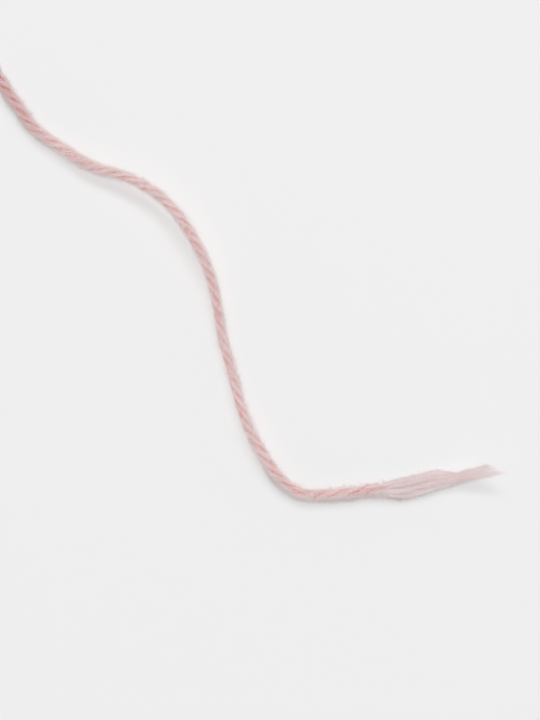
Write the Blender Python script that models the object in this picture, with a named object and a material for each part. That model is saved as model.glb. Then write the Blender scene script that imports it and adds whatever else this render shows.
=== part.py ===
"""A cut length of soft plied angora yarn, lying loosely in an S on a flat surface.

The yarn is one piece: four plies twisted together into a strand. It is modelled as one solid whose
outline has the rounded plies and the grooves between them, and it is swept along the way the strand
lies. One end is cut straight. Towards the other end the twist comes out: the plies spread into a
flat, soft belly, close up again at a waist, and end in a slanting, frayed cut that lifts off the
surface. The strand is pressed flat wherever it touches the surface it lies on.

Units are millimetres up to the mesh, which is in metres. +Z is up, and the surface is at Z = 0.
The origin is on the surface, under the middle of the strand's box.
"""

import math
from typing import NamedTuple

import bmesh
import bpy
from mathutils import Vector

METRES = 0.001  # one millimetre

# The make of the yarn.
PLIES = 4
PLY_SHARE = 0.48  # a ply's radius, as a share of the strand's own
PLY_PITCH = 11.8  # length of yarn in which a ply goes once round
FULL_TURN = 360.0 / PLY_PITCH  # twist in degrees for each millimetre, where the yarn is tight

# The faceting of the solid.
POINTS_A_PLY = 5
RING_STEP = 1.02  # distance between two rings of points, along the yarn
SEARCH_STEPS = 60  # short steps in which the length between two stations is measured

# The straight-cut end is slightly rounded.
CUT_ROUNDING = 0.25
CUT_SHARE = 0.8


class Station(NamedTuple):
    """A place on the strand: its centre, its section and how much it is twisted there."""

    x: float
    y: float
    height: float  # of the centre above the surface
    width: float  # side to side
    depth: float  # top to bottom, before it is pressed flat
    twist: float  # share of the full twist
    slant: float  # how far the cut leans forwards, for each millimetre to the right


# The way the strand lies, from its straight cut to its frayed end.
STATIONS = (
    Station(-52.7, 45.2, 0.95, 2.4, 2.4, 1.0, 0.0),
    Station(-50.9, 41.9, 0.95, 2.5, 2.5, 1.0, 0.0),
    Station(-47.3, 36.5, 0.95, 2.5, 2.5, 1.0, 0.0),
    Station(-43.1, 31.1, 0.95, 2.6, 2.5, 1.0, 0.0),
    Station(-37.3, 27.0, 1.2, 2.6, 2.5, 1.0, 0.0),
    Station(-31.3, 23.5, 2.1, 2.5, 2.5, 1.0, 0.0),
    Station(-24.6, 21.4, 3.0, 2.4, 2.4, 1.0, 0.0),
    Station(-18.4, 18.1, 3.3, 2.4, 2.4, 1.0, 0.0),
    Station(-13.6, 13.3, 3.2, 2.5, 2.5, 1.0, 0.0),
    Station(-9.8, 7.3, 2.8, 2.5, 2.5, 1.0, 0.0),
    Station(-7.0, 0.8, 2.0, 2.4, 2.4, 1.0, 0.0),
    Station(-5.5, -6.0, 1.2, 2.3, 2.3, 1.0, 0.0),
    Station(-4.3, -12.9, 0.9, 2.3, 2.3, 1.0, 0.0),
    Station(-2.4, -19.6, 0.9, 2.3, 2.3, 1.0, 0.0),
    Station(-0.7, -26.2, 1.4, 2.4, 2.4, 1.0, 0.0),
    Station(2.0, -32.9, 1.9, 2.5, 2.5, 1.0, 0.0),
    Station(5.8, -39.1, 1.3, 2.5, 2.5, 0.9, 0.0),
    Station(8.0, -41.8, 1.0, 2.5, 2.5, 0.85, 0.0),
    Station(10.7, -43.7, 0.95, 2.5, 2.5, 0.8, 0.0),
    Station(14.0, -44.6, 0.95, 2.5, 2.5, 0.8, 0.0),
    Station(20.9, -44.2, 0.95, 2.6, 2.5, 0.75, 0.0),
    Station(26.0, -43.6, 0.95, 2.8, 2.5, 0.6, 0.0),
    Station(29.4, -43.4, 0.95, 3.6, 2.5, 0.45, 0.0),
    Station(32.8, -43.2, 0.95, 4.8, 2.4, 0.3, 0.0),
    Station(36.0, -42.5, 0.95, 4.8, 2.4, 0.2, 0.0),
    Station(39.2, -41.7, 0.95, 4.4, 2.3, 0.2, 0.0),
    Station(42.0, -41.3, 1.1, 3.6, 2.3, 0.25, 0.0),
    Station(44.4, -41.0, 1.6, 2.6, 2.3, 0.3, 0.0),
    Station(46.8, -40.4, 2.5, 2.8, 2.4, 0.25, 0.0),
    Station(49.4, -39.9, 3.4, 2.8, 2.4, 0.2, 0.5),
    Station(52.3, -39.4, 4.2, 2.1, 2.1, 0.1, 1.2),
)

YARN_COLOUR = (0.69, 0.48, 0.47, 1.0)  # linear: a dusty, pale rose
YARN_ROUGHNESS = 0.9


def between(before: Station, start: Station, end: Station, after: Station, t: float) -> Station:
    """The station a share t of the way from start to end, on a curve through all four."""
    mixed = []
    for a, b, c, d in zip(before, start, end, after):
        slope = (c - a) / 2.0
        next_slope = (d - b) / 2.0
        rise = 3.0 * (c - b) - 2.0 * slope - next_slope
        bend = 2.0 * (b - c) + slope + next_slope
        mixed.append(b + slope * t + rise * t * t + bend * t * t * t)
    return Station(*mixed)


def centre(station: Station) -> Vector:
    """The middle of the strand at a station."""
    return Vector((station.x, station.y, station.height))


def evenly_spaced(stations: tuple[Station, ...], step: float) -> list[Station]:
    """Stations about one step apart along a smooth curve through the given ones."""
    padded = (stations[0], *stations, stations[-1])
    fine = [
        between(*padded[i : i + 4], n / SEARCH_STEPS)
        for i in range(len(stations) - 1)
        for n in range(SEARCH_STEPS)
    ]
    fine.append(stations[-1])
    lengths = [0.0]
    for a, b in zip(fine, fine[1:]):
        lengths.append(lengths[-1] + (centre(b) - centre(a)).length)
    count = round(lengths[-1] / step)
    chosen = []
    at = 0
    for n in range(count + 1):
        wanted = lengths[-1] * n / count
        while at < len(lengths) - 1 and lengths[at] < wanted:
            at += 1
        chosen.append(fine[at])
    return chosen


def plied_outline(turn: float) -> list[tuple[float, float]]:
    """A section of the plied strand, of radius 1: round plies pressed together round the middle.

    turn is how far the plies have gone round, in radians. Every section starts at the same groove
    of the same ply, so that the points of all sections follow the plies.
    """
    offset = 1.0 - PLY_SHARE
    half_ply = math.pi / PLIES
    outline = []
    for ply in range(PLIES):
        for n in range(POINTS_A_PLY):
            aside = half_ply * (2.0 * n / POINTS_A_PLY - 1.0)
            reach = offset * math.cos(aside)
            reach += math.sqrt(PLY_SHARE**2 - (offset * math.sin(aside)) ** 2)
            angle = turn + 2.0 * half_ply * ply + aside
            outline.append((reach * math.cos(angle), reach * math.sin(angle)))
    return outline


def ring_points(station: Station, along: Vector, turn: float, share: float = 1.0) -> list[Vector]:
    """The points of one section, in its place on the strand and pressed flat on the surface."""
    left = Vector((0.0, 0.0, 1.0)).cross(along).normalized()
    up = along.cross(left)
    points = []
    for aside, high in plied_outline(turn):
        aside *= share * station.width / 2.0
        high *= share * station.depth / 2.0
        point = centre(station) + left * aside + up * high - along * (aside * station.slant)
        point.z = max(point.z, 0.0)
        points.append(point * METRES)
    return points


def strand_rings() -> list[list[Vector]]:
    """All sections of the strand, from the straight cut to the frayed end."""
    places = evenly_spaced(STATIONS, RING_STEP)
    rings = []
    turn = 0.0
    for n, place in enumerate(places):
        before = places[max(n - 1, 0)]
        after = places[min(n + 1, len(places) - 1)]
        along = (centre(after) - centre(before)).normalized()
        if n == 0:
            outer = place._replace(x=place.x - along.x * CUT_ROUNDING, y=place.y - along.y * CUT_ROUNDING)
            rings.append(ring_points(outer, along, turn, CUT_SHARE))
        else:
            # The plies go round to the left of the strand's direction, as an S twist does.
            turn -= math.radians(FULL_TURN * place.twist) * (centre(place) - centre(before)).length
        rings.append(ring_points(place, along, turn))
    return rings


def yarn_material() -> bpy.types.Material:
    """Brushed angora, matt and pale rose."""
    material = bpy.data.materials.new("angora")
    material.use_nodes = True
    shader = material.node_tree.nodes["Principled BSDF"]
    shader.inputs["Base Color"].default_value = YARN_COLOUR
    shader.inputs["Roughness"].default_value = YARN_ROUGHNESS
    shader.inputs["Metallic"].default_value = 0.0
    return material


def build_strand() -> bpy.types.Object:
    """The whole strand, as one closed solid."""
    shape = bmesh.new()
    rings = [[shape.verts.new(point) for point in ring] for ring in strand_rings()]
    count = len(rings[0])
    for ring, following in zip(rings, rings[1:]):
        for n in range(count):
            m = (n + 1) % count
            shape.faces.new((ring[n], ring[m], following[m], following[n]))
    shape.faces.new(reversed(rings[0]))
    shape.faces.new(rings[-1])
    bmesh.ops.triangulate(shape, faces=shape.faces[:])
    bmesh.ops.recalc_face_normals(shape, faces=shape.faces[:])
    mesh = bpy.data.meshes.new("yarn_strand")
    shape.to_mesh(mesh)
    shape.free()
    mesh.shade_smooth()
    mesh.materials.append(yarn_material())
    strand = bpy.data.objects.new("yarn_strand", mesh)
    bpy.context.scene.collection.objects.link(strand)
    return strand


def clear_scene() -> None:
    """Removes what a new file holds."""
    for thing in list(bpy.data.objects):
        bpy.data.objects.remove(thing)


clear_scene()
build_strand()
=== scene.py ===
"""A cut length of pale rose angora yarn, lying loosely in an S on a white surface.

The yarn is four plies of carded angora and wool, twisted together to the left. Each ply is modelled
as its own closed tube with the relief of its fibre bundles. Real fibres, as thin tapered tubes, are
laid over the plies, brushed up from them as a short nap, stray from them as a halo, and stand out of
both cut ends. Towards the frayed end the twist comes out, and the plies spread side by side.
"""
import logging
import math
from dataclasses import astuple, dataclass
from enum import Enum

import bpy
import numpy as np
from bpy.types import Collection, Material, Mesh, Node, NodeSocket, NodeTree, Object
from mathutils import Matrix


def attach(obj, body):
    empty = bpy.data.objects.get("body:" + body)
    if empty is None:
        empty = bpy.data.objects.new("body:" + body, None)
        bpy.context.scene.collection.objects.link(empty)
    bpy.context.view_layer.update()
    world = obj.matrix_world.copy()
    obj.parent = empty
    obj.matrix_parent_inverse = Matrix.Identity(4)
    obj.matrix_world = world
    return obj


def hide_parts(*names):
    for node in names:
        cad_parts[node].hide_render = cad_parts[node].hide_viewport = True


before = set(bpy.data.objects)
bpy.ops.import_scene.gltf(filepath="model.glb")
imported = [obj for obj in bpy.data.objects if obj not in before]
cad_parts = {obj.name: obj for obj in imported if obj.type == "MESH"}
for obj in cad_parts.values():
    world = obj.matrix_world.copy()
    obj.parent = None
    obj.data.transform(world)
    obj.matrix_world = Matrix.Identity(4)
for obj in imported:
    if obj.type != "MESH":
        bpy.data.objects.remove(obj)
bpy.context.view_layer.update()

log = logging.getLogger("angora_yarn")

Array = np.ndarray
Draws = np.random.Generator  # a seeded source of random values
Pair = tuple[float, float]
Triple = tuple[float, float, float]
Links = dict[str | int, NodeSocket]

MM = 0.001  # one millimetre, in metres
FULL_TURN = 2.0 * math.pi
CAD_NODE = "yarn_strand"
BODY = "root"

# The make of the yarn.
PLIES = 4
PLY_SHARE = 0.48  # a ply's radius, as a share of the radius of the four together
PLY_PITCH = 11.8 * MM  # length of yarn in which a ply goes once round

BAKE_MAP = "OFBake"  # the UV map that the finish is baked through
BAKE_MARGIN = 0.04  # left free at each side of a strip of it, as a share of the strip


# ---- Small tools ----


def linear(hex_colour: str) -> tuple[float, float, float, float]:
    """Turns an sRGB colour into the linear values that shaders take.

    Args:
        hex_colour: six hex digits, such as "DBB4B1".

    Returns:
        Red, green, blue and alpha, from 0 to 1.
    """
    parts = [int(hex_colour[i : i + 2], 16) / 255.0 for i in (0, 2, 4)]
    channels = [p / 12.92 if p <= 0.04045 else ((p + 0.055) / 1.055) ** 2.4 for p in parts]
    return (*channels, 1.0)


def unit(vectors: Array) -> Array:
    """Scales vectors, whose x, y and z are on the last axis, to length 1."""
    return vectors / np.maximum(np.linalg.norm(vectors, axis=-1, keepdims=True), 1e-12)


def ease(share: Array) -> Array:
    """Rounds off both ends of a share that goes evenly from 0 to 1."""
    return share * share * (3.0 - 2.0 * share)


def smooth_step(low: float, high: float, values: Array, least: float = 0.0) -> Array:
    """Goes smoothly from the least share at low to 1 at high.

    Args:
        low: where the rise starts.
        high: where it ends.
        values: the places to work it out at.
        least: the share before the rise.

    Returns:
        A share for each value.
    """
    return least + (1.0 - least) * ease(np.clip((values - low) / (high - low), 0.0, 1.0))


def rolling_noise(rng: Draws, places: Array, wavelength: float) -> Array:
    """Draws smooth random values along a line, about -1 to 1.

    Args:
        rng: the source of the random values.
        places: where along the line, in metres, from 0 up.
        wavelength: the distance between two random values.

    Returns:
        One value for each place.
    """
    at = places / wavelength
    knots = rng.uniform(-1.0, 1.0, int(at.max()) + 3)
    low = at.astype(int)
    share = ease(at - low)
    return knots[low] * (1.0 - share) + knots[low + 1] * share


def waver(rng: Draws, t: Array, count: int, size: float, waves: Pair) -> Array:
    """Gives each fibre a small waver of its own.

    Args:
        rng: the source of the random values.
        t: how far along a fibre its points are, from 0 to 1.
        count: how many fibres there are.
        size: the usual height of a wave.
        waves: the least and the greatest angle that a wave goes through along a fibre.

    Returns:
        The wave's height, as fibre, point.
    """
    return rng.normal(0.0, size, count)[:, None] * np.sin(t * rng.uniform(*waves, count)[:, None])


# ---- The way the strand lies ----


@dataclass(frozen=True)
class Station:
    """A place on the strand, in metres: its centre, its section and its share of the full twist."""

    x: float
    y: float
    height: float
    width: float
    depth: float
    twist: float


# From the straight cut to the frayed end, as in the part's source.
STATIONS = tuple(
    Station(*row)
    for row in (
        (-0.0527, 0.0452, 0.00095, 0.0024, 0.0024, 1.0),
        (-0.0509, 0.0419, 0.00095, 0.0025, 0.0025, 1.0),
        (-0.0473, 0.0365, 0.00095, 0.0025, 0.0025, 1.0),
        (-0.0431, 0.0311, 0.00095, 0.0026, 0.0025, 1.0),
        (-0.0373, 0.0270, 0.0012, 0.0026, 0.0025, 1.0),
        (-0.0313, 0.0235, 0.0021, 0.0025, 0.0025, 1.0),
        (-0.0246, 0.0214, 0.0030, 0.0024, 0.0024, 1.0),
        (-0.0184, 0.0181, 0.0033, 0.0024, 0.0024, 1.0),
        (-0.0136, 0.0133, 0.0032, 0.0025, 0.0025, 1.0),
        (-0.0098, 0.0073, 0.0028, 0.0025, 0.0025, 1.0),
        (-0.0070, 0.0008, 0.0020, 0.0024, 0.0024, 1.0),
        (-0.0055, -0.0060, 0.0012, 0.0023, 0.0023, 1.0),
        (-0.0043, -0.0129, 0.0009, 0.0023, 0.0023, 1.0),
        (-0.0024, -0.0196, 0.0009, 0.0023, 0.0023, 1.0),
        (-0.0007, -0.0262, 0.0014, 0.0024, 0.0024, 1.0),
        (0.0020, -0.0329, 0.0019, 0.0025, 0.0025, 1.0),
        (0.0058, -0.0391, 0.0013, 0.0025, 0.0025, 0.9),
        (0.0080, -0.0418, 0.0010, 0.0025, 0.0025, 0.85),
        (0.0107, -0.0437, 0.00095, 0.0025, 0.0025, 0.8),
        (0.0140, -0.0446, 0.00095, 0.0025, 0.0025, 0.8),
        (0.0209, -0.0442, 0.00095, 0.0026, 0.0025, 0.75),
        (0.0260, -0.0436, 0.00095, 0.0028, 0.0025, 0.6),
        (0.0294, -0.0434, 0.00095, 0.0036, 0.0025, 0.45),
        (0.0328, -0.0432, 0.00095, 0.0048, 0.0024, 0.3),
        (0.0360, -0.0425, 0.00095, 0.0048, 0.0024, 0.2),
        (0.0392, -0.0417, 0.00095, 0.0044, 0.0023, 0.2),
        (0.0420, -0.0413, 0.0011, 0.0036, 0.0023, 0.25),
        (0.0444, -0.0410, 0.0016, 0.0026, 0.0023, 0.3),
        (0.0468, -0.0404, 0.0025, 0.0028, 0.0024, 0.25),
        (0.0494, -0.0399, 0.0034, 0.0028, 0.0024, 0.2),
        (0.0523, -0.0394, 0.0042, 0.0021, 0.0021, 0.1),
    )
)


@dataclass(frozen=True)
class OpenSection:
    """Where the plies lie in a section of the untwisted end, in millimetres from its centre.

    The plies are named for their order across the strand, from its left side to its right.
    """

    from_tip: float  # distance from the frayed end, along the yarn
    left: float
    inner_left: float
    inner_right: float
    right: float
    lift: float  # of the inner right ply above the others, which it lies on
    girth: float  # a ply's radius


OPEN_SECTIONS = (
    OpenSection(30.0, 0.9, 0.3, -0.3, -0.9, 0.4, 0.44),
    OpenSection(23.2, 1.1, 0.45, -0.5, -1.2, 0.35, 0.46),
    OpenSection(19.8, 1.45, 0.65, -0.65, -1.6, 0.3, 0.50),
    OpenSection(16.6, 1.55, 0.6, -0.55, -1.6, 0.25, 0.54),
    OpenSection(13.4, 1.35, 0.5, -0.45, -1.3, 0.25, 0.52),
    OpenSection(10.6, 1.0, 0.35, -0.35, -0.95, 0.3, 0.48),
    OpenSection(8.1, 0.5, 0.15, -0.2, -0.55, 0.4, 0.46),
    OpenSection(5.6, 0.65, 0.2, -0.25, -0.6, 0.3, 0.46),
    OpenSection(2.9, 0.75, 0.25, -0.3, -0.6, 0.2, 0.42),
    OpenSection(0.0, 0.85, 0.3, -0.35, -0.55, 0.1, 0.36),
)


@dataclass(frozen=True)
class NapShare:
    """The nap at a place on the strand: how much on each side, how tall and how much paler."""

    at: float  # distance from the straight cut, in millimetres
    left: float
    top: float
    right: float
    under: float
    height: float
    paler: float


NAP_SHARES = (
    NapShare(0.0, 0.85, 0.07, 0.50, 0.20, 0.95, -0.04),
    NapShare(14.0, 0.80, 0.07, 0.50, 0.20, 0.92, 0.0),
    NapShare(20.0, 0.90, 0.20, 0.60, 0.15, 0.85, 0.18),
    NapShare(31.0, 0.80, 0.26, 0.55, 0.10, 0.85, 0.16),
    NapShare(38.0, 0.58, 0.34, 0.28, 0.0, 0.82, 0.06),
    NapShare(60.0, 0.56, 0.36, 0.18, 0.0, 0.85, 0.0),
    NapShare(82.0, 0.56, 0.36, 0.14, 0.0, 0.95, -0.08),
    NapShare(100.0, 0.56, 0.34, 0.14, 0.0, 1.0, -0.05),
    NapShare(106.0, 0.52, 0.24, 0.35, 0.05, 1.0, 0.06),
    NapShare(112.0, 0.44, 0.14, 0.60, 0.65, 1.0, 0.14),
    NapShare(128.0, 0.44, 0.14, 0.60, 0.65, 1.0, 0.14),
    NapShare(136.0, 0.40, 0.16, 0.46, 0.34, 1.0, 0.15),
    NapShare(148.0, 0.34, 0.12, 0.28, 0.10, 0.95, 0.02),
    NapShare(158.0, 0.20, 0.06, 0.15, 0.00, 0.7, -0.05),
)


@dataclass
class Spots:
    """Places on one ply: how far along the strand, and at what angle in its section."""

    ply: int
    places: Array
    angles: Array


def nap_share(measure: str, places: Array) -> Array:
    """Reads one measure of the nap, such as its height, at places along the strand."""
    at = [share.at for share in NAP_SHARES]
    return np.interp(places / MM, at, [getattr(share, measure) for share in NAP_SHARES])


@dataclass
class Strand:
    """The strand's centreline and the place of every ply on it, as curves of the distance along it.

    Everything that is built on the yarn asks this class where a ply's surface is. Angles in the
    strand's section go from its left side over its top.
    """

    step: float = 0.1 * MM  # between two samples of a curve
    spline_steps: int = 120  # between two stations
    last_sample: float = 1.001  # so that the last place still has a sample after it
    core_share: float = 0.76  # the plies' share of the strand's width, the rest being its nap
    widest: float = 1.1  # the most that the twisted plies spread, in depths of the strand
    parting_turn: float = math.radians(40.0)  # the first ply's angle where the plies part
    last_turn: float = 1.3 * math.pi  # past this angle, a ply parts the other way round
    opens_from: float = 29.5 * MM  # the plies start to part this far from the frayed end
    opens_to: float = 20.5 * MM  # and lie side by side from here
    side_by_side: tuple[str, ...] = ("left", "inner_left", "inner_right", "right")
    ply_order: tuple[int, ...] = (0, 2, 3, 1)  # each ply's place from the left in the open end
    ply_ends: tuple[float, ...] = (2.0 * MM, 1.7 * MM, 1.1 * MM, 0.0)  # short of the tip, by place
    ply_lifts: tuple[float, ...] = (-0.6, -0.6, 1.0, -0.6)  # the share of the lift, by place
    ply_faces: tuple[float, ...] = (1.5, 1.6, 2.1, 1.2)  # the angle that each ply shows there
    combed_from: float = 0.4  # the openness at which fibres start to be combed out of the twist
    combed_over: Pair = (4.0 * MM, 14.0 * MM)  # from the tip, where they grow to all
    combed_at_tip: float = 0.55  # the share of combed fibres there
    darker_near_cut_over: Pair = (8.0 * MM, 24.0 * MM)  # where the darkening near the straight cut fades
    wander: float = 0.05 * MM  # how far a ply strays from a true spiral
    wander_lengths: Pair = (2.6 * MM, 3.1 * MM)  # sideways, and up and down
    slub: float = 0.08  # how much a ply's thickness varies
    slub_lengths: Pair = (4.3 * MM, 1.7 * MM)  # its long swells, and half as high ones
    groove_reach: float = 0.35 * MM  # how wide a groove between two plies opens
    crest_span: Pair = (0.2, 0.75 * math.pi)  # from a ply's outermost line
    seed: int = 100

    def __post_init__(self) -> None:
        """Works out all the curves once."""
        table = self._spline()
        gaps = np.linalg.norm(np.diff(table[:, :3], axis=0), axis=1)
        walked = np.concatenate([[0.0], np.cumsum(gaps)])
        self.length = float(walked[-1])
        self.count = int(round(self.length / self.step)) + 1
        self.places = np.linspace(0.0, self.length, self.count)
        columns = [np.interp(self.places, walked, column) for column in table.T]
        self.centre = np.stack(columns[:3], axis=1)
        self.width, self.depth, self.twist = columns[3:]
        self.along = unit(np.gradient(self.centre, axis=0))
        self.left = unit(np.cross([0.0, 0.0, 1.0], self.along))
        self.up = np.cross(self.along, self.left)
        from_tip = self.length - self.places
        self.openness = 1.0 - smooth_step(self.opens_to, self.opens_from, from_tip)
        self.combing = smooth_step(self.combed_from, 1.0, self.openness)
        self.combing *= smooth_step(*self.combed_over, from_tip, self.combed_at_tip)
        self.handled = 1.0 - smooth_step(*self.darker_near_cut_over, self.places)
        turned = np.cumsum(self.twist) * (self.length / (self.count - 1)) * FULL_TURN / PLY_PITCH
        parting = np.interp(self.length - 0.5 * (self.opens_from + self.opens_to), self.places, turned)
        self.turn = self.parting_turn + parting - turned
        self._place_plies(from_tip)

    def _spline(self) -> Array:
        """Runs one smooth curve through the stations.

        Returns:
            Finely spaced rows of x, y, height, width, depth and twist.
        """
        rows = np.array([astuple(station) for station in STATIONS])
        rows = np.concatenate([rows[:1], rows, rows[-1:]])
        t = np.linspace(0.0, 1.0, self.spline_steps, endpoint=False)[:, None]
        parts = []
        for a, b, c, d in zip(rows, rows[1:], rows[2:], rows[3:]):
            slope, next_slope = (c - a) / 2.0, (d - b) / 2.0
            rise = 3.0 * (c - b) - 2.0 * slope - next_slope
            bend = 2.0 * (b - c) + slope + next_slope
            parts.append(b + slope * t + rise * t**2 + bend * t**3)
        return np.concatenate([*parts, rows[-1:]])

    def _place_plies(self, from_tip: Array) -> None:
        """Works out where each ply lies in the strand's section, how thick it is and what it shows.

        Args:
            from_tip: each sampled place's distance from the frayed end.
        """
        rows = OPEN_SECTIONS[::-1]
        distances = [row.from_tip * MM for row in rows]
        parted = {
            measure: np.interp(from_tip, distances, [getattr(row, measure) * MM for row in rows])
            for measure in (*self.side_by_side, "lift", "girth")
        }
        width = self.core_share * np.minimum(self.width, self.widest * self.depth)
        depth = self.core_share * self.depth
        around = (1.0 - PLY_SHARE) / 2.0
        twisted_girth = PLY_SHARE * (width + depth) / 4.0
        self.aside, self.high, self.girth, self.facing = [], [], [], []
        for ply in range(PLIES):
            rng = np.random.default_rng(self.seed + ply)
            angle = self.turn + FULL_TURN * ply / PLIES
            angle -= FULL_TURN * (angle[-1] > self.last_turn)
            place = self.ply_order[ply]
            aside = self._opened(around * width * np.cos(angle), parted[self.side_by_side[place]])
            high = self._opened(around * depth * np.sin(angle), parted["lift"] * self.ply_lifts[place])
            self.aside.append(aside + self.wander * rolling_noise(rng, self.places, self.wander_lengths[0]))
            self.high.append(high + self.wander * rolling_noise(rng, self.places, self.wander_lengths[1]))
            thick = 1.0 + self.slub * rolling_noise(rng, self.places, self.slub_lengths[0])
            thick += 0.5 * self.slub * rolling_noise(rng, self.places, self.slub_lengths[1])
            self.girth.append(self._opened(twisted_girth, parted["girth"]) * thick)
            self.facing.append(self._opened(angle, self.ply_faces[ply]))

    def _opened(self, twisted: Array, parted: Array | float) -> Array:
        """Goes from a measure of the twisted yarn to that of the open end, where the plies part."""
        return twisted * (1.0 - self.openness) + parted * self.openness

    def ply_length(self, ply: int) -> float:
        """Says how far a ply, by its number from 0, reaches from the straight cut, in metres."""
        return self.length - self.ply_ends[self.ply_order[ply]]

    def curve(self, values: Array, places: Array) -> Array:
        """Reads one of the sampled curves at any places.

        Args:
            values: the curve's samples, of numbers or of points.
            places: distances along the strand.

        Returns:
            The values there, in an array of the same shape as places.
        """
        at = np.clip(places / self.length * (self.count - 1), 0.0, self.count - self.last_sample)
        low = at.astype(int)
        share = at - low
        if values.ndim == 2:
            share = share[..., None]
        return values[low] * (1.0 - share) + values[low + 1] * share

    def middle(self, places: Array) -> Array:
        """Finds points on the strand's centreline, which goes on straight past its ends."""
        past = places - np.clip(places, 0.0, self.length)
        return self.curve(self.centre, places) + self.curve(self.along, places) * past[..., None]

    def section(self, spots: Spots, lift: Array | float) -> tuple[Array, Array]:
        """Finds where points on or over a ply's surface lie in the strand's section.

        Args:
            spots: the places on the ply.
            lift: their heights over it.

        Returns:
            How far to the left of the strand's centreline the points are, and how far above it.
        """
        ply, places, angles = spots.ply, spots.places, spots.angles
        reach = self.curve(self.girth[ply], places) + lift
        aside = self.curve(self.aside[ply], places) + reach * np.cos(angles)
        return aside, self.curve(self.high[ply], places) + reach * np.sin(angles)

    def surface(self, spots: Spots, lift: Array | float) -> Array:
        """Finds points on or over a ply's surface, pressed flat where they would be under the floor.

        Args:
            spots: the places on the ply.
            lift: their heights over it.

        Returns:
            The points, with x, y and z on the last axis.
        """
        aside, high = self.section(spots, lift)
        points = self.middle(spots.places) + self.curve(self.left, spots.places) * aside[..., None]
        points = points + self.curve(self.up, spots.places) * high[..., None]
        points[..., 2] = np.maximum(points[..., 2], 0.0)
        return points

    def groove(self, spots: Spots) -> Array:
        """Says how deep places on a ply lie in the grooves between it and its neighbours.

        Args:
            spots: the places on the ply.

        Returns:
            0 on an open side, up to 1 where the ply touches another.
        """
        aside, high = self.section(spots, 0.0)
        gaps = []
        for other in range(PLIES):
            if other != spots.ply:
                across = aside - self.curve(self.aside[other], spots.places)
                upwards = high - self.curve(self.high[other], spots.places)
                gaps.append(np.hypot(across, upwards) - self.curve(self.girth[other], spots.places))
        return 1.0 - smooth_step(0.0, self.groove_reach, np.min(gaps, axis=0))

    def crest(self, spots: Spots) -> Array:
        """Says how far places on a ply are from its grooves: 1 on its outermost line, down to 0."""
        turned = spots.angles - self.curve(self.facing[spots.ply], spots.places)
        turned = np.abs((turned + math.pi) % FULL_TURN - math.pi)
        return 1.0 - smooth_step(*self.crest_span, turned)

    def kinds(self, places: Array, rng: Draws) -> Array:
        """Draws which colours fibres have where they start: spun, combed out of the twist, or darker near the
        straight cut.

        Args:
            places: distances along the strand.
            rng: the source of the random values.

        Returns:
            0 for a spun fibre, 1 for a combed one, 2 for a darker one near the straight cut.
        """
        chance = rng.uniform(size=len(places))
        handled = chance < self.curve(self.handled, places)
        return np.where(handled, 2, (chance < self.curve(self.combing, places)).astype(int))


# ---- Meshes from arrays ----


@dataclass
class TubeSet:
    """Many closed tubes that share one mesh: their rings of points and what their points carry."""

    rings: Array  # tube, ring, side, xyz
    carried: dict[str, Array]  # by name, numbers as tube, ring, side, or places with xyz as well
    chart: Array  # for the bake map: tube, stretch between rings, its two ends, side and one more, uv

    def build(self, name: str, material: Material) -> Object:
        """Makes the mesh, of quads along the tubes and a cap at each end, and its object.

        Args:
            name: the piece's name.
            material: its finish.

        Returns:
            The new object, at the origin.
        """
        index = np.arange(self.rings.size // 3).reshape(self.rings.shape[:3])
        beside = np.roll(index, -1, axis=2)
        quads = np.stack([index[:, :-1], beside[:, :-1], beside[:, 1:], index[:, 1:]], axis=-1)
        caps = np.concatenate([index[:, 0, ::-1], index[:, -1]])
        corners = np.concatenate([quads.ravel(), caps.ravel()])
        sizes = np.concatenate([np.full(quads.size // 4, 4), np.full(len(caps), caps.shape[1])])
        starts = np.concatenate([[0], np.cumsum(sizes)[:-1]])
        mesh = bpy.data.meshes.new(name)
        mesh.vertices.add(index.size)
        mesh.vertices.foreach_set("co", self.rings.astype(np.float32).ravel())
        mesh.loops.add(len(corners))
        mesh.loops.foreach_set("vertex_index", corners.astype(np.int32))
        mesh.polygons.add(len(sizes))
        mesh.polygons.foreach_set("loop_start", starts.astype(np.int32))
        mesh.polygons.foreach_set("loop_total", sizes.astype(np.int32))
        for title, values in self.carried.items():
            kind, key = ("FLOAT", "value") if values.ndim == 3 else ("FLOAT_VECTOR", "vector")
            layer = mesh.attributes.new(title, kind, "POINT")
            layer.data.foreach_set(key, values.astype(np.float32).ravel())
        self._lay_chart(mesh)
        mesh.update(calc_edges=True)
        mesh.validate()
        mesh.shade_smooth()
        mesh.materials.append(material)
        piece = bpy.data.objects.new(name, mesh)
        bpy.context.scene.collection.objects.link(piece)
        return piece

    def _lay_chart(self, mesh: Mesh) -> None:
        """Gives the mesh its bake map, in which every face has room of its own kind of place.

        Args:
            mesh: the mesh, with its faces made.
        """
        near, far = self.chart[:, :, 0], self.chart[:, :, 1]
        quads = np.stack([near[:, :, :-1], near[:, :, 1:], far[:, :, 1:], far[:, :, :-1]], axis=-2)
        caps = np.concatenate([near[:, 0, -2::-1], far[:, -1, :-1]])
        uv = np.concatenate([quads.reshape(-1, 2), caps.reshape(-1, 2)])
        mesh.uv_layers.new(name=BAKE_MAP).uv.foreach_set("vector", uv.astype(np.float32).ravel())


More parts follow.
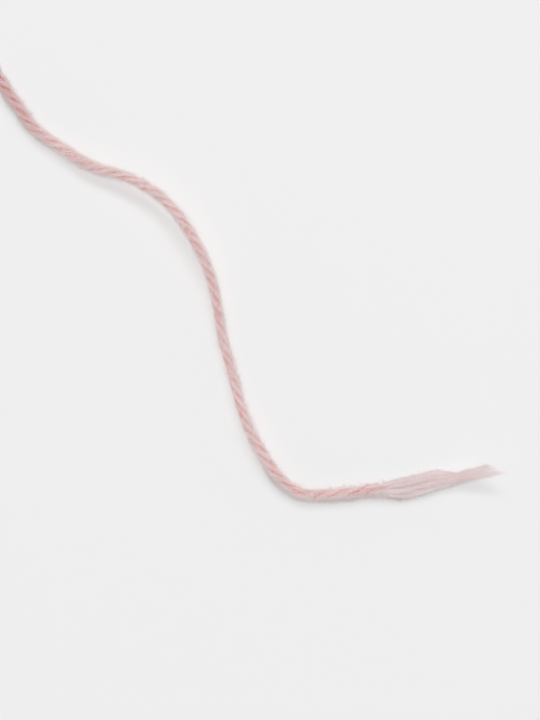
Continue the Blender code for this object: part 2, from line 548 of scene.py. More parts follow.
@dataclass
class FibreSet:
    """The fibres of one piece, as lines that are to be given their thickness."""

    name: str
    lines: Array  # fibre, point, xyz
    tones: Array  # how pale each fibre is, 0 to 1
    kinds: Array  # 0 for a spun fibre, 1 for one combed out of the twist, 2 for a darker one near the straight cut
    radius: float  # at the root
    rng: Draws
    sides: int = 3
    unevenness: float = 0.25  # how much thicker or thinner than usual a fibre may be
    taper: float = 0.75  # how much of its thickness it has lost at its tip
    # painted light: a fibre is paler towards its tip, which stands out of the other fibres' shade
    lit_tip_paleness: float = 0.12
    tone_ends: Pair = (0.02, 0.98)
    strip: float = 0.004  # width of a fibre's strip on the bake map
    kind_count: int = 3  # each kind has its own band of the bake map

    def _rings(self, radii: Array) -> Array:
        """Puts a ring round every point of every fibre, each fibre turned at random.

        Args:
            radii: the rings' radii, as fibre, point.

        Returns:
            The rings, as fibre, point, side, xyz, none of them under the floor.
        """
        along = unit(np.gradient(self.lines, axis=1))
        ways = unit(self.lines[:, -1] - self.lines[:, 0])
        across = unit(np.cross(ways, self.rng.normal(size=(len(ways), 3))))
        first = unit(np.cross(along, across[:, None, :]))
        second = np.cross(along, first)
        rings = []
        for side in range(self.sides):
            angle = FULL_TURN * side / self.sides
            out = first * math.cos(angle) + second * math.sin(angle)
            rings.append(self.lines + out * radii[..., None])
        rings = np.stack(rings, axis=2)
        rings[..., 2] = np.maximum(rings[..., 2], 0.0)
        return rings

    def build(self, material: Material) -> Object:
        """Builds the fibres as one piece.

        Args:
            material: their finish.

        Returns:
            The new object.
        """
        count, points, _ = self.lines.shape
        t = np.linspace(0.0, 1.0, points)
        girths = self.rng.uniform(1.0 - self.unevenness, 1.0 + self.unevenness, count)
        radii = self.radius * girths[:, None] * (1.0 - self.taper * t**2)[None, :]
        tones = np.clip(self.tones[:, None] + self.lit_tip_paleness * t[None, :], *self.tone_ends)
        rings = self._rings(radii)
        kinds = self.kinds[:, None, None]
        carried = {"tone": np.repeat(tones[:, :, None], self.sides, axis=2)}
        for title, kind in (("combed", 1), ("handled", 2)):
            carried[title] = np.broadcast_to(kinds == kind, rings.shape[:3])
        across = (np.arange(self.sides + 1) / self.sides - 0.5) * self.strip
        u = tones[:, :, None] + across[None, None, :]
        v = (kinds + (BAKE_MARGIN + (1.0 - 2.0 * BAKE_MARGIN) * t)[None, :, None]) / self.kind_count
        chart = np.stack(np.broadcast_arrays(u, v), axis=-1)
        tubes = TubeSet(rings, carried, np.stack([chart[:, :-1], chart[:, 1:]], axis=2))
        piece = tubes.build(self.name, material)
        piece.visible_diffuse = False  # so fine a nap throws no glow on the board
        return piece


# ---- Finishes ----


def add_node(tree: NodeTree, kind: str, settings: dict[str | int, object], links: Links) -> Node:
    """Adds a node with its settings and links, or sets up one that the tree starts with.

    Args:
        tree: the material's node tree.
        kind: the node's type, such as "ShaderNodeTexNoise", or the name of one that is there.
        settings: values by name, for the node's own settings or its unlinked inputs. A ramp's
            "stops" are pairs of place and sRGB colour, in order.
        links: output sockets by the name of the input that they feed.

    Returns:
        The node.
    """
    node = tree.nodes.get(kind) or tree.nodes.new(kind)
    for title, value in settings.items():
        if title == "stops":
            elements = node.color_ramp.elements
            while len(elements) < len(value):
                elements.new(0.5)
            for element, (place, colour) in zip(elements, value):
                element.position = place
                element.color = linear(colour)
        elif isinstance(title, str) and hasattr(node, title):
            setattr(node, title, value)
        else:
            node.inputs[title].default_value = value
    for title, socket in links.items():
        tree.links.new(socket, node.inputs[title])
    return node


def new_material(name: str) -> tuple[Material, NodeTree]:
    """Starts a material, and gives its node tree as well."""
    material = bpy.data.materials.new(name)
    material.use_nodes = True
    return material, material.node_tree


@dataclass(frozen=True)
class WoolFinish:
    """What the yarn's finishes share: matt, softly shining fibres that light goes into."""

    name: str
    roughness: Pair  # where the pattern is at its deepest and at its palest
    sheen: Pair  # its share and its roughness
    gloss: float
    scatter: Triple  # how far red, green and blue light goes in, in depths
    depth: float

    def material(self) -> Material:
        """Builds the material.

        Returns:
            The new material.
        """
        material, tree = new_material(self.name)
        pattern, links = self._pattern(tree)
        span = {"To Min": self.roughness[0], "To Max": self.roughness[1]}
        rough = add_node(tree, "ShaderNodeMapRange", span, {"Value": pattern})
        wool = {
            "Sheen Weight": self.sheen[0],
            "Sheen Roughness": self.sheen[1],
            "Specular IOR Level": self.gloss,
            "Subsurface Weight": 1.0,
            "Subsurface Radius": self.scatter,
            "Subsurface Scale": self.depth,
        }
        add_node(tree, "Principled BSDF", wool, {"Roughness": rough.outputs["Result"], **links})
        return material

    def _pattern(self, tree: NodeTree) -> tuple[NodeSocket, Links]:
        """Draws the finish's pattern and colour.

        Args:
            tree: the material's node tree.

        Returns:
            The pattern, and what it feeds by the name of the shader's input.
        """
        raise NotImplementedError


@dataclass(frozen=True)
class PlyFinish(WoolFinish):
    """Carded angora and wool, dyed rose and spun: the body of a ply.

    The fibres lie along the ply in bundles about a fifth of a millimetre wide, which show as fine
    streaks. In the grooves between the plies, where less of the pale nap covers it, the colour is
    painted deeper as shade, and where the twist is out the fibres spread and look paler.
    """

    name: str = "carded_angora_spun"
    roughness: Pair = (0.75, 0.95)
    sheen: Pair = (0.5, 0.5)
    gloss: float = 0.2
    scatter: Triple = (1.0, 0.8, 0.8)
    depth: float = 0.25 * MM
    # the deepest colour, which the painted shade in the grooves moves towards
    groove: str = "DC9E9A"
    body: str = "DDA4A1"
    pale: str = "E7BFBE"
    opened: str = "DFD1D1"
    handled: str = "E8DCDB"  # the other colours are multiplied by it near the straight cut, which is darker
    bundle: float = 0.2 * MM  # width of a bundle of fibres
    bundle_length: float = 4.0 * MM
    bundle_detail: float = 3.0
    bundle_unevenness: float = 0.6
    groove_shade: float = -0.55  # painted shade: how far a groove moves the colour towards its deep end
    tones: Pair = (-0.1, 0.75)  # of the streaks, at the deep and the pale end
    body_at: float = 0.6  # where the usual colour lies between them
    opened_share: float = 0.7  # of the open end's colour there
    relief: float = 0.04 * MM  # height of the finest streaks
    relief_share: float = 0.6

    def _pattern(self, tree: NodeTree) -> tuple[NodeSocket, Links]:
        """Draws streaks along the ply, with painted shade in the grooves, and greys them at both ends."""
        lay, groove, opened, handled = (
            add_node(tree, "ShaderNodeAttribute", {"attribute_name": title}, {})
            for title in ("lay", "groove", "opened", "handled")
        )
        scale = (1.0 / self.bundle_length, 1.0 / self.bundle, 1.0 / self.bundle)
        mapped = add_node(tree, "ShaderNodeMapping", {"Scale": scale}, {"Vector": lay.outputs["Vector"]})
        noise = {"Scale": 1.0, "Detail": self.bundle_detail, "Roughness": self.bundle_unevenness}
        streaks = add_node(tree, "ShaderNodeTexNoise", noise, {"Vector": mapped.outputs["Vector"]})
        streak = streaks.outputs["Fac"]
        shade_pull = {"operation": "MULTIPLY_ADD", 1: self.groove_shade}
        tone = add_node(tree, "ShaderNodeMath", shade_pull, {0: groove.outputs["Fac"], 2: streak})
        span = {"From Min": self.tones[0], "From Max": self.tones[1]}
        place = add_node(tree, "ShaderNodeMapRange", span, {"Value": tone.outputs["Value"]})
        stops = ((0.0, self.groove), (self.body_at, self.body), (1.0, self.pale))
        spun = add_node(tree, "ShaderNodeValToRGB", {"stops": stops}, {"Fac": place.outputs["Result"]})
        part = {"operation": "MULTIPLY", 1: self.opened_share}
        share = add_node(tree, "ShaderNodeMath", part, {0: opened.outputs["Fac"]})
        mix = {"data_type": "RGBA", 7: linear(self.opened)}
        mixed = add_node(tree, "ShaderNodeMix", mix, {0: share.outputs["Value"], 6: spun.outputs["Color"]})
        mix = {"data_type": "RGBA", "blend_type": "MULTIPLY", 7: linear(self.handled)}
        greyed = add_node(tree, "ShaderNodeMix", mix, {0: handled.outputs["Fac"], 6: mixed.outputs[2]})
        bump = {"Strength": self.relief_share, "Distance": self.relief}
        bumped = add_node(tree, "ShaderNodeBump", bump, {"Height": streak})
        return streak, {"Base Color": greyed.outputs[2], "Normal": bumped.outputs["Normal"]}


@dataclass(frozen=True)
class FibreFinish(WoolFinish):
    """Single angora fibres: hollow, smooth and pale, so they look lighter than the ply under them.

    Where the twist is out the fibres are combed apart, and their colours are greyer, partly as painted shade
    among the loose fibres.
    """

    name: str = "angora_fibre"
    roughness: Pair = (0.8, 0.6)
    sheen: Pair = (0.4, 0.4)
    gloss: float = 0.3
    scatter: Triple = (1.0, 0.9, 0.9)
    depth: float = 0.04 * MM
    spun: tuple[str, ...] = ("E1AEAC", "EBD0CF", "F0DEDD")  # deep, usual and pale fibres
    # greyer than the spun ones, partly painted shade among the loose fibres
    combed: tuple[str, ...] = ("DFBDBD", "E6CDCD", "EDDBDC")
    # darker and greyer colours near the straight cut
    handled: tuple[str, ...] = ("CF9B99", "D9BCBC", "E0CDCD")

    def _pattern(self, tree: NodeTree) -> tuple[NodeSocket, Links]:
        """Colours each fibre by how pale it is and what kind it is."""
        tone, combed, handled = (
            add_node(tree, "ShaderNodeAttribute", {"attribute_name": title}, {}).outputs["Fac"]
            for title in ("tone", "combed", "handled")
        )
        colour, *others = (
            add_node(tree, "ShaderNodeValToRGB", {"stops": stops}, {"Fac": tone}).outputs["Color"]
            for stops in (tuple(zip((0.0, 0.5, 1.0), row)) for row in (self.spun, self.combed, self.handled))
        )
        for share, other in zip((combed, handled), others):
            links = {0: share, 6: colour, 7: other}
            colour = add_node(tree, "ShaderNodeMix", {"data_type": "RGBA"}, links).outputs[2]
        return tone, {"Base Color": colour}


@dataclass(frozen=True)
class FloorFinish:
    """A white lacquered board, matt and smooth, so that it shows nothing but soft shadows."""

    name: str = "white_board"
    colour: str = "EBEBEB"
    roughness: float = 0.7

    def material(self) -> Material:
        """Builds the material.

        Returns:
            The new material.
        """
        material, tree = new_material(self.name)
        paint = {"Base Color": linear(self.colour), "Roughness": self.roughness, "Specular IOR Level": 0.0}
        add_node(tree, "Principled BSDF", paint, {})
        return material


# ---- The yarn ----


@dataclass
class PliedCore:
    """The four plies, each a closed tube with the relief of its fibre bundles.

    Its tapers each say between which distances from an end a ply reaches its full thickness, and
    with what share of it it starts.
    """

    strand: Strand
    sides: int = 20
    chart_rows: int = 4  # a ply's bake map is cut into rows, so that it isn't squeezed
    rings_a_row: int = 132
    row_margin: float = 0.01  # left free at each end of a row
    ridge: float = 0.035 * MM  # height of a bundle of fibres
    ridges: tuple[int, ...] = (4, 7, 11)  # bundles round a ply, coarse to fine
    lean: float = 0.10 / MM  # how fast the bundles go round the ply, against the yarn's twist
    drift: float = 2.4  # how far a bundle strays sideways, as an angle of its wave
    drift_length: float = 5.0 * MM
    swell: float = 0.6  # a bundle's usual height, which it goes below and above
    swell_length: float = 1.1 * MM
    tip_taper: Triple = (-0.5 * MM, 5.0 * MM, 0.3)
    tip_rounding: Triple = (-0.1 * MM, 0.4 * MM, 0.65)
    cut_rounding: Triple = (-0.1 * MM, 0.7 * MM, 0.45)
    cut_face_lightening: float = 0.7 * MM  # how far back from the straight cut the face is painted paler: spread fibres, and painted light on the shaded cut face
    cut_groove: float = 0.6 * MM  # how far back from it the painted shade in the grooves fades in
    apart: float = 0.05  # between two plies in the pattern of streaks, in metres
    seed: int = 40

    def _ply_rings(self, ply: int) -> tuple[Array, Spots]:
        """Works out the rings of one ply.

        Args:
            ply: its number, from 0.

        Returns:
            The rings' points, and the places on the ply that they were made at.
        """
        strand = self.strand
        end = strand.ply_length(ply)
        places = np.linspace(0.0, end, self.chart_rows * self.rings_a_row + 1)
        round_ply = np.linspace(0.0, FULL_TURN, self.sides, endpoint=False)
        places, round_ply = np.broadcast_arrays(places[:, None], round_ply[None, :])
        rng = np.random.default_rng(self.seed + ply)
        relief = np.zeros(places.shape)
        for number in self.ridges:
            drift = rolling_noise(rng, places[:, 0], self.drift_length)[:, None] * self.drift
            noise = rolling_noise(rng, places[:, 0], self.swell_length)[:, None]
            phase = rng.uniform(0.0, FULL_TURN)
            wave = np.cos(number * (round_ply - self.lean * places) + drift + phase)
            relief += (self.swell + (1.0 - self.swell) * noise) * wave / number**0.5
        thin = np.ones(places.shape)
        for (low, high, least), distance in (
            (self.tip_taper, end - places),
            (self.tip_rounding, end - places),
            (self.cut_rounding, places),
        ):
            thin *= smooth_step(low, high, distance, least)
        lift = self.ridge * relief * thin + strand.curve(strand.girth[ply], places) * (thin - 1.0)
        spots = Spots(ply, places, strand.curve(strand.turn, places) + FULL_TURN * ply / PLIES + round_ply)
        return strand.surface(spots, lift), spots

    def build(self, material: Material) -> Object:
        """Builds all plies as one piece.

        Args:
            material: the plies' finish.

        Returns:
            The new object.
        """
        strand = self.strand
        rings, charts = [], []
        carried = {"groove": [], "opened": [], "handled": [], "lay": []}
        for ply in range(PLIES):
            points, spots = self._ply_rings(ply)
            places = spots.places
            girth = strand.curve(strand.girth[ply], places)
            turned = spots.angles - strand.curve(strand.turn, places) - self.lean * places
            lay = np.stack([places, girth * np.cos(turned), girth * np.sin(turned)], axis=-1)
            closing = smooth_step(0.0, self.cut_groove, places)
            cut = 1.0 - smooth_step(0.0, self.cut_face_lightening, places)
            # how deep each place lies in a groove, which the ply finish turns into painted shade
            carried["groove"].append(strand.groove(spots) * closing)
            # the cut face takes the open end's paler colour, partly as painted light on its shaded face
            carried["opened"].append(np.maximum(strand.curve(strand.combing, places), cut))
            carried["handled"].append(strand.curve(strand.handled, places))
            carried["lay"].append(lay + self.apart * ply)
            rings.append(points)
            charts.append(self._chart(ply))
        carried = {title: np.stack(values) for title, values in carried.items()}
        return TubeSet(np.stack(rings), carried, np.stack(charts)).build("plied_core", material)

    def _chart(self, ply: int) -> Array:
        """Lays out one ply's bake map in rows.

        Args:
            ply: its number, from 0.

        Returns:
            UV pairs for each stretch between rings, its two ends, and its sides with the first again.
        """
        stretch = np.arange(self.chart_rows * self.rings_a_row)
        row = stretch // self.rings_a_row
        ends = (stretch - row * self.rings_a_row)[:, None] + np.array([0, 1])[None, :]
        u = self.row_margin + (1.0 - 2.0 * self.row_margin) * ends / self.rings_a_row
        across = np.linspace(BAKE_MARGIN, 1.0 - BAKE_MARGIN, self.sides + 1)
        v = ((ply * self.chart_rows + row)[:, None] + across[None, :]) / (self.chart_rows * PLIES)
        return np.stack(np.broadcast_arrays(u[:, :, None], v[:, None, :]), axis=-1)


class Growth(Enum):
    """The ways in which fibres grow from the yarn."""

    LAID = "laid"
    NAP = "nap"
    UNDER = "under"
    HALO = "halo"


@dataclass(frozen=True)
class FibreKind:
    """One kind of fibre: how many, how long and thick, and how it lies. Lengths are in millimetres.

    A real angora fibre is about 0.015 mm thick, too fine to show at arm's length. Most of these are
    two to four times as thick at the root, and as much fewer.
    """

    name: str
    growth: Growth
    count: int
    points: int
    short: float  # shortest and longest fibre
    long: float
    radius: float
    rise: float  # how far it stands off the ply
    tone: float  # average paleness, 0 to 1
    dense: bool  # whether it shades the yarn itself, and not only the board
    clump: int  # how many fibres cling together
    seed: int


FIBRES = (
    FibreKind("laid_fibres", Growth.LAID, 3800, 6, 2.5, 6.0, 0.022, 0.08, 0.6, False, 1, 1),
    # The pale laid fibres are painted highlights, laid round the plies' crests where light catches them.
    FibreKind("laid_highlights", Growth.LAID, 560, 8, 2.0, 5.0, 0.028, 0.22, 0.98, False, 3, 5),
    FibreKind("nap_low", Growth.NAP, 8900, 3, 0.6, 1.3, 0.024, 0.25, 0.45, True, 3, 2),
    FibreKind("nap_mid", Growth.NAP, 9000, 4, 0.8, 1.8, 0.022, 0.38, 0.6, False, 3, 3),
    FibreKind("nap_high", Growth.NAP, 9200, 4, 1.0, 2.2, 0.019, 0.50, 0.75, False, 2, 6),
    FibreKind("nap_top", Growth.NAP, 3600, 5, 1.2, 2.8, 0.014, 0.65, 0.8, False, 1, 8),
    FibreKind("nap_under", Growth.UNDER, 4400, 3, 0.9, 2.2, 0.023, 0.95, 0.7, True, 1, 9),
    FibreKind("nap_flank", Growth.UNDER, 2600, 3, 0.9, 2.0, 0.023, 0.75, 0.7, False, 1, 10),
    FibreKind("halo", Growth.HALO, 400, 8, 1.2, 3.5, 0.009, 1.0, 0.9, False, 1, 4),
)


@dataclass
class FibreCoat:
    """Fibres of one kind, spread over all plies."""

    strand: Strand
    kind: FibreKind

    # How fibres are laid along a ply.
    laid_open: float = 1.2  # how many more there are where the plies part
    laid_spread: float = 0.75  # how far round the ply they lie
    laid_limit: float = 2.2  # and the farthest that they do
    laid_clump: float = 0.07
    laid_rises: Pair = (0.3, 1.0)
    laid_drift: Pair = (0.10 / MM, 0.12 / MM)  # how fast they go round the ply, and its spread
    laid_dip: float = 0.04 * MM  # how deep in the ply their ends are
    laid_wave: float = 0.16
    laid_waves: Pair = (4.0, 11.0)

    # Where the nap is rooted.
    aims: tuple[float, ...] = (0.0, 1.57, 3.05, 3.6)  # its ways out: left, top, right, under
    aim_spread: float = 0.45
    patchiness: float = 0.4  # how unevenly it is spread
    patch: float = 3.0 * MM
    tries: int = 6  # roots drawn for each one kept
    open_side: float = 0.5  # a root's groove is less deep than this
    clump_spread: Pair = (0.08 * MM, 0.1)  # along the yarn and round it
    root_depth: float = 0.05 * MM
    end_margin: float = 0.3 * MM  # no fibre is rooted nearer to a ply's end

    # How the nap stands.
    tallest: Pair = (0.1, 2.6)  # the lowest and highest clump
    under_height: Pair = (0.6, 0.3)  # the under nap's height, and how much of it varies
    heights: Pair = (0.8, 1.15)  # of the fibres in a clump
    bows: Pair = (0.5, 1.3)  # how early a fibre reaches its height
    slants: Pair = (0.1, 0.9)  # how far along the yarn a clump leans, in fibre lengths
    slant_spread: float = 0.12
    turns: Pair = (0.5, 0.15)  # how far round the ply a clump turns in a millimetre, and a fibre in it
    nap_wave: float = 0.12
    nap_waves: Pair = (3.0, 9.0)

    # How stray fibres leave the ply.
    halo_foot: float = 0.4 * MM  # length of their straight foot, which gives their first way
    halo_lift: Pair = (0.3, 1.0)  # how steeply they leave it
    halo_bends: Pair = (0.3, 1.6)
    halo_sag: float = 0.35
    halo_waver: Pair = (0.16, 0.6)  # at each step, and how much of it adds up
    clearance: float = 0.02 * MM  # over the floor

    # How pale the fibres are.
    crest_highlight: float = 0.40  # painted highlight on a ply's crest and painted shade in its grooves: how much paler the crest is
    crest_middle: float = 0.45  # how far out a fibre with its usual tone is
    tone_spread: float = 0.16

    def __post_init__(self) -> None:
        """Seeds the random values."""
        self.rng = np.random.default_rng(self.kind.seed)

    def _laid(self, roots: Spots) -> Array:
        """Lays fibres along a ply, close to it, where they dip in and out of its surface.

        Args:
            roots: the middles of the fibres.

        Returns:
            The fibres' points, as fibre, point, xyz.
        """
        kind, strand, count = self.kind, self.strand, len(roots.places)
        facing = strand.facing[roots.ply]
        t = np.linspace(0.0, 1.0, kind.points)[None, :]
        length = self.rng.uniform(kind.short * MM, kind.long * MM, count)[:, None]
        drift = self.rng.normal(*self.laid_drift, count)[:, None] * length
        wave = waver(self.rng, t, count, self.laid_wave, self.laid_waves)
        rise = kind.rise * MM * self.rng.uniform(*self.laid_rises, count)[:, None]
        lift = (rise + self.laid_dip) * np.sin(math.pi * t) - self.laid_dip
        s = np.clip(roots.places[:, None] + length * (t - 0.5), 0.0, strand.ply_length(roots.ply))
        turned = roots.angles - strand.curve(facing, roots.places)
        angle = strand.curve(facing, s) + turned[:, None] + drift * (t - 0.5) + wave
        return strand.surface(Spots(roots.ply, s, angle), lift)

    def _nap(self, roots: Spots) -> Array:
        """Raises short fibres that arch up from a ply, most of them back down to it.

        Args:
            roots: where the fibres start.

        Returns:
            The fibres' points, as fibre, point, xyz.
        """
        kind, count = self.kind, len(roots.places)
        lock = np.arange(count) // kind.clump
        locks = lock[-1] + 1
        t = np.linspace(0.0, 1.0, kind.points)[None, :]
        tall = np.clip(self.rng.exponential(1.0, locks), *self.tallest)
        if kind.growth is Growth.UNDER:
            tall = self.under_height[0] + self.under_height[1] * tall
        tall = tall[lock] * self.rng.uniform(*self.heights, count) * nap_share("height", roots.places)
        length = self.rng.uniform(kind.short * MM, kind.long * MM, count)[:, None]
        bow = self.rng.uniform(*self.bows, locks)[lock][:, None]
        arch = 2.0 * bow * t - (2.0 * bow - 1.0) * t**2
        lift = kind.rise * MM * tall[:, None] * arch - self.root_depth * (1.0 - t)
        way = np.where(self.rng.uniform(size=locks) < 0.5, -1.0, 1.0)[lock]
        way = way * self.rng.uniform(*self.slants, locks)[lock]
        way = way + self.rng.normal(0.0, self.slant_spread, count)
        s = roots.places[:, None] + way[:, None] * length * t
        turn = self.rng.normal(0.0, self.turns[0], locks)[lock] + self.rng.normal(0.0, self.turns[1], count)
        curl = waver(self.rng, t, count, self.nap_wave, self.nap_waves)
        angle = roots.angles[:, None] + turn[:, None] * length / MM * t + curl
        return self.strand.surface(Spots(roots.ply, s, angle), lift)

    def _halo(self, roots: Spots) -> Array:
        """Lets long stray fibres leave a ply and curl in the air or lie on the floor.

        Args:
            roots: where the fibres start.

        Returns:
            The fibres' points, as fibre, point, xyz, none of them under the floor.
        """
        kind, strand, count = self.kind, self.strand, len(roots.places)
        start = strand.surface(roots, -self.root_depth)
        out = unit(strand.surface(roots, self.halo_foot) - start)
        way = np.where(self.rng.uniform(size=count) < 0.5, -1.0, 1.0)[:, None]
        lean = way * strand.curve(strand.along, roots.places)
        heading = unit(out * self.rng.uniform(*self.halo_lift, count)[:, None] + lean)
        length = self.rng.uniform(kind.short * MM, kind.long * MM, count)
        bend = unit(self.rng.normal(size=(count, 3))) * self.rng.uniform(*self.halo_bends, count)[:, None]
        bend[:, 2] -= self.halo_sag
        steps = kind.points - 1
        turns = self.rng.normal(0.0, self.halo_waver[0], (count, steps, 3))
        turns = np.cumsum(turns, axis=1) * self.halo_waver[1]
        t = np.linspace(0.0, 1.0, steps)[None, :, None]
        walk = unit(heading[:, None, :] + bend[:, None, :] * t + turns) * (length / steps)[:, None, None]
        start = start[:, None, :]
        lines = np.concatenate([start, start + np.cumsum(walk, axis=1)], axis=1)
        lines[..., 2] = np.maximum(lines[..., 2], self.clearance)
        return lines

    def build(self, material: Material) -> Object:
        """Builds the fibres as one piece.

        Args:
            material: the fibres' finish.

        Returns:
            The new object.
        """
        kind = self.kind
        shape = {Growth.LAID: self._laid, Growth.HALO: self._halo}.get(kind.growth, self._nap)
        lines, tones, kinds = [], [], []
        for ply in range(PLIES):
            roots = self._roots(ply, kind.count // PLIES)
            lines.append(shape(roots))
            crest = self.strand.crest(roots)
            # painted highlight on the plies' crests and painted shade in their grooves
            paler = nap_share("paler", roots.places) + self.crest_highlight * (crest**4 - self.crest_middle)
            tones.append(kind.tone + (paler + self.rng.normal(0.0, self.tone_spread, len(paler))))
            kinds.append(self.strand.kinds(roots.places, self.rng))
        parts = [np.concatenate(part) for part in (lines, tones, kinds)]
        return FibreSet(kind.name, *parts, kind.radius * MM, self.rng).build(material)

    def _roots(self, ply: int, count: int) -> Spots:
        """Chooses where the fibres are rooted on one ply, on its free sides only.

        Args:
            ply: the ply's number.
            count: how many fibres it gets.

        Returns:
            Their roots.
        """
        strand, kind = self.strand, self.kind
        last = strand.ply_length(ply) - self.end_margin
        if kind.growth is Growth.LAID:
            weight = 1.0 + self.laid_open * strand.openness
            places = np.minimum(self._pick(weight[None, :], count)[1], last)
            spread = np.clip(self.rng.normal(0.0, self.laid_spread, count), -self.laid_limit, self.laid_limit)
            first = np.arange(count) // kind.clump * kind.clump
            spread = spread[first] + (kind.clump > 1) * self.rng.normal(0.0, self.laid_clump, count)
            return Spots(ply, places[first], strand.curve(strand.facing[ply], places[first]) + spread)
        sides = slice(3, 4) if kind.growth is Growth.UNDER else slice(0, 3)
        names = ("left", "top", "right", "under")[sides]
        weight = np.stack([nap_share(name, strand.places) for name in names])
        weight = weight * (1.0 + self.patchiness * rolling_noise(self.rng, strand.places, self.patch))
        side, places = self._pick(weight, self.tries * count)
        places = np.minimum(places, last)
        angles = np.array(self.aims[sides])[side] + self.rng.normal(0.0, self.aim_spread, len(side))
        free = strand.groove(Spots(ply, places, angles)) < self.open_side
        places, angles = places[free][:count], angles[free][:count]
        first = np.arange(len(places)) // kind.clump * kind.clump
        places = places[first] + self.rng.normal(0.0, self.clump_spread[0], len(first))
        angles = angles[first] + self.rng.normal(0.0, self.clump_spread[1], len(first))
        return Spots(ply, np.clip(places, 0.0, strand.length), angles)

    def _pick(self, weight: Array, count: int) -> tuple[Array, Array]:
        """Picks sides of the strand and places along it, more of them where the weight is higher.

        Args:
            weight: the weights, as side, sampled place.
            count: how many to pick.

        Returns:
            The sides' numbers and the distances along the strand.
        """
        chance = np.cumsum(weight.ravel()) / weight.sum()
        pick = np.searchsorted(chance, self.rng.uniform(0.0, 1.0, count)).clip(0, weight.size - 1)
        side, index = np.divmod(pick, self.strand.count)
        places = self.strand.places[index] + self.rng.uniform(-0.5, 0.5, count) * self.strand.step
        return side, np.clip(places, 0.0, self.strand.length)


@dataclass
class CutEnd:
    """The fibres that stand out of the plies where the yarn was cut."""

    strand: Strand
    name: str
    frayed: bool
    count: int  # fibres in each ply
    back: float  # how far back in the ply they come from
    past: float  # how unevenly they end
    splay: float  # how far they spread
    points: int
    tone: float  # average paleness, 0 to 1
    seed: int
    radius: float = 0.018 * MM
    tone_spread: float = 0.18
    starts: Pair = (0.05, 1.0)  # between the cut and the farthest back
    fullness: float = 1.1  # how far out in the ply fibres lie, squared
    turn: float = 0.5  # how far round the ply they stray
    wave: float = 0.1
    waves: Pair = (3.0, 9.0)

    def _tuft(self, ply: int, rng: Draws) -> Array:
        """Lets fibres run on along a ply past its end.

        Args:
            ply: its number, from 0.
            rng: the source of the random values.

        Returns:
            The fibres' points, as fibre, point, xyz.
        """
        strand, count = self.strand, self.count
        end, way = (strand.ply_length(ply), 1.0) if self.frayed else (0.0, -1.0)
        start = end - way * rng.uniform(*self.starts, count) * self.back
        stop = end + way * rng.normal(0.0, self.past, count)
        t = np.linspace(0.0, 1.0, self.points)[None, :]
        s = start[:, None] + (stop - start)[:, None] * t
        share = np.sqrt(rng.uniform(0.0, self.fullness, count))[:, None]
        splay = rng.exponential(self.splay, count)[:, None] * t**2
        angle = rng.uniform(0.0, FULL_TURN, count)[:, None] + rng.normal(0.0, self.turn, count)[:, None] * t
        angle = angle + waver(rng, t, count, self.wave, self.waves)
        lift = strand.curve(strand.girth[ply], s) * (share + splay - 1.0)
        return strand.surface(Spots(ply, s, angle), lift)

    def build(self, material: Material) -> Object:
        """Builds the tuft as one piece.

        Args:
            material: the fibres' finish.

        Returns:
            The new object.
        """
        rng = np.random.default_rng(self.seed)
        lines = np.concatenate([self._tuft(ply, rng) for ply in range(PLIES)])
        kinds = np.full(len(lines), 1 if self.frayed else 2)
        tones = rng.normal(self.tone, self.tone_spread, len(lines))
        return FibreSet(self.name, lines, tones, kinds, self.radius, rng).build(material)


def cut_ends(strand: Strand) -> list[CutEnd]:
    """Lists the tufts of the frayed end and of the straight cut."""
    frayed = CutEnd(strand, "frayed_end", True, 200, 6.5 * MM, 1.2 * MM, 0.25, 9, 0.5, 7)
    clipped = CutEnd(strand, "clipped_end", False, 300, 1.4 * MM, 0.16 * MM, 0.08, 4, 0.6, 17, 0.022 * MM)
    return [frayed, clipped]


# ---- The studio ----


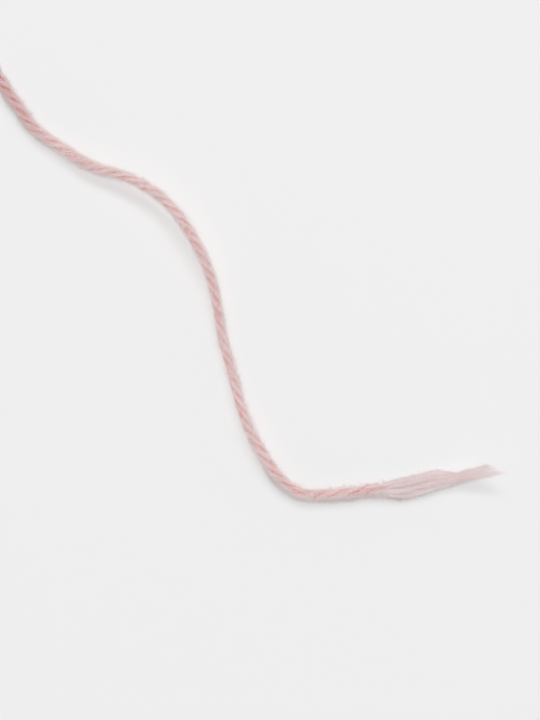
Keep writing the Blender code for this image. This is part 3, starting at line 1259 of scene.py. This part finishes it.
@dataclass
class Studio:
    """A white board under an overhead light, a long window light at the upper right and a pale room."""

    view_width: float = 112.3 * MM  # what the camera takes in at the floor
    view_centre: Pair = (5.38 * MM, -16.55 * MM)
    view_shape: float = 720.0 / 540.0  # its height, in widths
    camera_height: float = 1.0
    view_depth: float = 50.0
    sensor: float = 24.0  # height in millimetres
    board_size: float = 40.0
    overhead: float = 2.00  # strength in W/m2
    overhead_spread: float = math.radians(16.0)
    window: float = 40.0  # power in W
    let_through: float = 0.15  # the share of it that the pale yarn lets through to the board
    window_size: Pair = (4.2, 0.75)
    window_distance: float = 3.3
    window_height: float = math.radians(48.0)  # over the floor
    window_heading: float = math.radians(74.0)  # from +X towards +Y
    room: float = 0.16  # its brightness overhead
    horizon: float = 0.85  # and at the horizon
    walls: Pair = (0.08, 0.3)  # where it goes from one to the other

    def build_camera(self) -> None:
        """Sets the camera over the yarn, looking straight down."""
        bpy.ops.object.camera_add(location=(*self.view_centre, self.camera_height), rotation=(0.0, 0.0, 0.0))
        camera = bpy.context.object
        camera.name = "camera_above"
        camera.data.sensor_fit = "VERTICAL"
        camera.data.sensor_height = self.sensor
        camera.data.lens = self.sensor * self.camera_height / (self.view_width * self.view_shape)
        camera.data.clip_end = self.view_depth
        bpy.context.scene.camera = camera

    def build_floor(self) -> Object:
        """Lays the white board that the yarn lies on.

        Returns:
            The new object.
        """
        bpy.ops.mesh.primitive_plane_add(size=self.board_size)
        board = bpy.context.object
        board.name = "white_board"
        board.data.materials.append(FloorFinish().material())
        return board

    def build_lights(self, board: Object, dense: list[Object], loose: list[Object]) -> None:
        """Lights the board evenly from above, with a share from the upper right.

        Light gets through the loose nap to the yarn, so only the dense pieces shade the yarn itself.
        The board has its own copies of the window light. All pieces shade the strong one, and
        nothing shades the weak one, so the shadows are no darker than a translucent yarn's.

        Args:
            board: what the yarn lies on.
            dense: the pieces that shade the yarn.
            loose: its other pieces.
        """
        bpy.ops.object.light_add(type="SUN")
        overhead = bpy.context.object
        overhead.name = "overhead_light"
        overhead.data.energy = self.overhead
        overhead.data.angle = self.overhead_spread
        overhead.light_linking.blocker_collection = group("shades_yarn", dense)
        self._add_window("window_light_on_yarn", 1.0, dense + loose, dense)
        self._add_window("window_light_on_board", 1.0 - self.let_through, [board], dense + loose)
        self._add_window("window_light_let_through", self.let_through, [board], [])
        self._add_room()

    def _add_window(self, name: str, share: float, lit: list[Object], shading: list[Object]) -> None:
        """Adds the long soft light at the upper right.

        Args:
            name: the light's name.
            share: the share of the window's light that it gives.
            lit: what it lights.
            shading: what throws shadows in it.
        """
        flat = self.window_distance * math.cos(self.window_height)
        across, along = flat * math.cos(self.window_heading), flat * math.sin(self.window_heading)
        bpy.ops.object.light_add(
            type="AREA",
            location=(across, along, self.window_distance * math.sin(self.window_height)),
            rotation=(0.5 * math.pi - self.window_height, 0.0, self.window_heading + 0.5 * math.pi),
        )
        window = bpy.context.object
        window.name = name
        window.data.shape = "RECTANGLE"
        window.data.size, window.data.size_y = self.window_size
        window.data.energy = share * self.window
        window.data.use_shadow = bool(shading)
        window.light_linking.receiver_collection = group(name + "_lights", lit)
        window.light_linking.blocker_collection = group(name + "_shaded_by", shading)

    def _add_room(self) -> None:
        """Surrounds the scene with a pale room, brighter towards its walls."""
        world = bpy.data.worlds.new("pale_room")
        world.use_nodes = True
        tree = world.node_tree
        where = add_node(tree, "ShaderNodeTexCoord", {}, {})
        split = add_node(tree, "ShaderNodeSeparateXYZ", {}, {"Vector": where.outputs["Generated"]})
        fade = {"From Min": self.walls[0], "From Max": self.walls[1]}
        fade |= {"To Min": self.horizon, "To Max": self.room}
        glow = add_node(tree, "ShaderNodeMapRange", fade, {"Value": split.outputs["Z"]})
        add_node(tree, "Background", {"Color": linear("FFFFFF")}, {"Strength": glow.outputs["Result"]})
        bpy.context.scene.world = world
        bpy.context.scene.view_settings.view_transform = "Standard"


def group(name: str, things: list[Object]) -> Collection:
    """Puts objects together in a collection that isn't part of the scene's own.

    Args:
        name: the collection's name.
        things: the objects.

    Returns:
        The new collection.
    """
    collection = bpy.data.collections.new(name)
    for thing in things:
        collection.objects.link(thing)
    return collection


def deselect_all() -> None:
    """Leaves nothing selected, so that no operator acts on the CAD nodes."""
    for thing in bpy.context.selected_objects:
        thing.select_set(False)


def main() -> None:
    """Builds the studio and the yarn, in order."""
    logging.basicConfig(level=logging.INFO, format="%(name)s: %(message)s")
    deselect_all()
    studio = Studio()
    studio.build_camera()
    strand = Strand()
    log.info("strand: %.1f mm long", strand.length / MM)
    core = PliedCore(strand).build(PlyFinish().material())
    log.info("plied core: %d faces", len(core.data.polygons))
    fibre = FibreFinish().material()
    coats = [FibreCoat(strand, kind).build(fibre) for kind in FIBRES]
    coats += [tuft.build(fibre) for tuft in cut_ends(strand)]
    for coat in coats:
        log.info("%s: %d faces", coat.name, len(coat.data.polygons))
    for piece in (core, *coats):
        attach(piece, BODY)
    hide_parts(CAD_NODE)
    path = strand.middle(np.arange(0.0, strand.length, 0.5 * MM))
    tuple(path[0])
    deselect_all()
    board = studio.build_floor()
    dense = [core] + [coat for coat, kind in zip(coats, FIBRES) if kind.dense]
    loose = [coat for coat in coats if coat not in dense]
    studio.build_lights(board, dense, loose)


if __name__ == "__main__":
    main()
